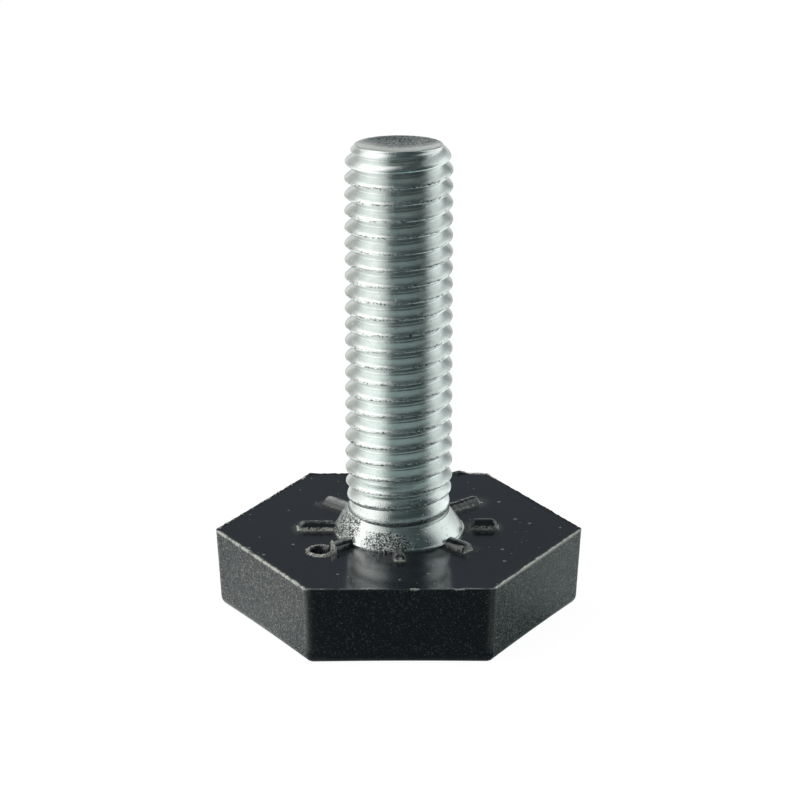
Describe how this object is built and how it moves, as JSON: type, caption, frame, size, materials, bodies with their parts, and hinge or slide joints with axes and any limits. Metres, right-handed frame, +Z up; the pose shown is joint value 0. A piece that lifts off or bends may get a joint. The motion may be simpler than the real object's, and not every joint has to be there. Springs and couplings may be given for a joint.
{
  "type": "shelf leveling foot",
  "caption": "Leveling foot with an upright threaded metal stud moulded into a flat hexagonal plastic base, screwed into furniture to set its height.",
  "frame": {"origin": "on the floor under the axis of the stud, in the middle of the underside", "axes": "+Z up along the stud, +X towards a corner of the hexagon, -Y out of a flat side"},
  "size_m": [0.0276, 0.024, 0.0365],
  "materials": {
    "zinc_steel": "bright zinc plating",
    "black_plastic": "semi-gloss top, grained sides"
  },
  "bodies": {
    "root": {"threaded_stud": "zinc_steel", "hex_base": "black_plastic"}
  },
  "joints": []
}
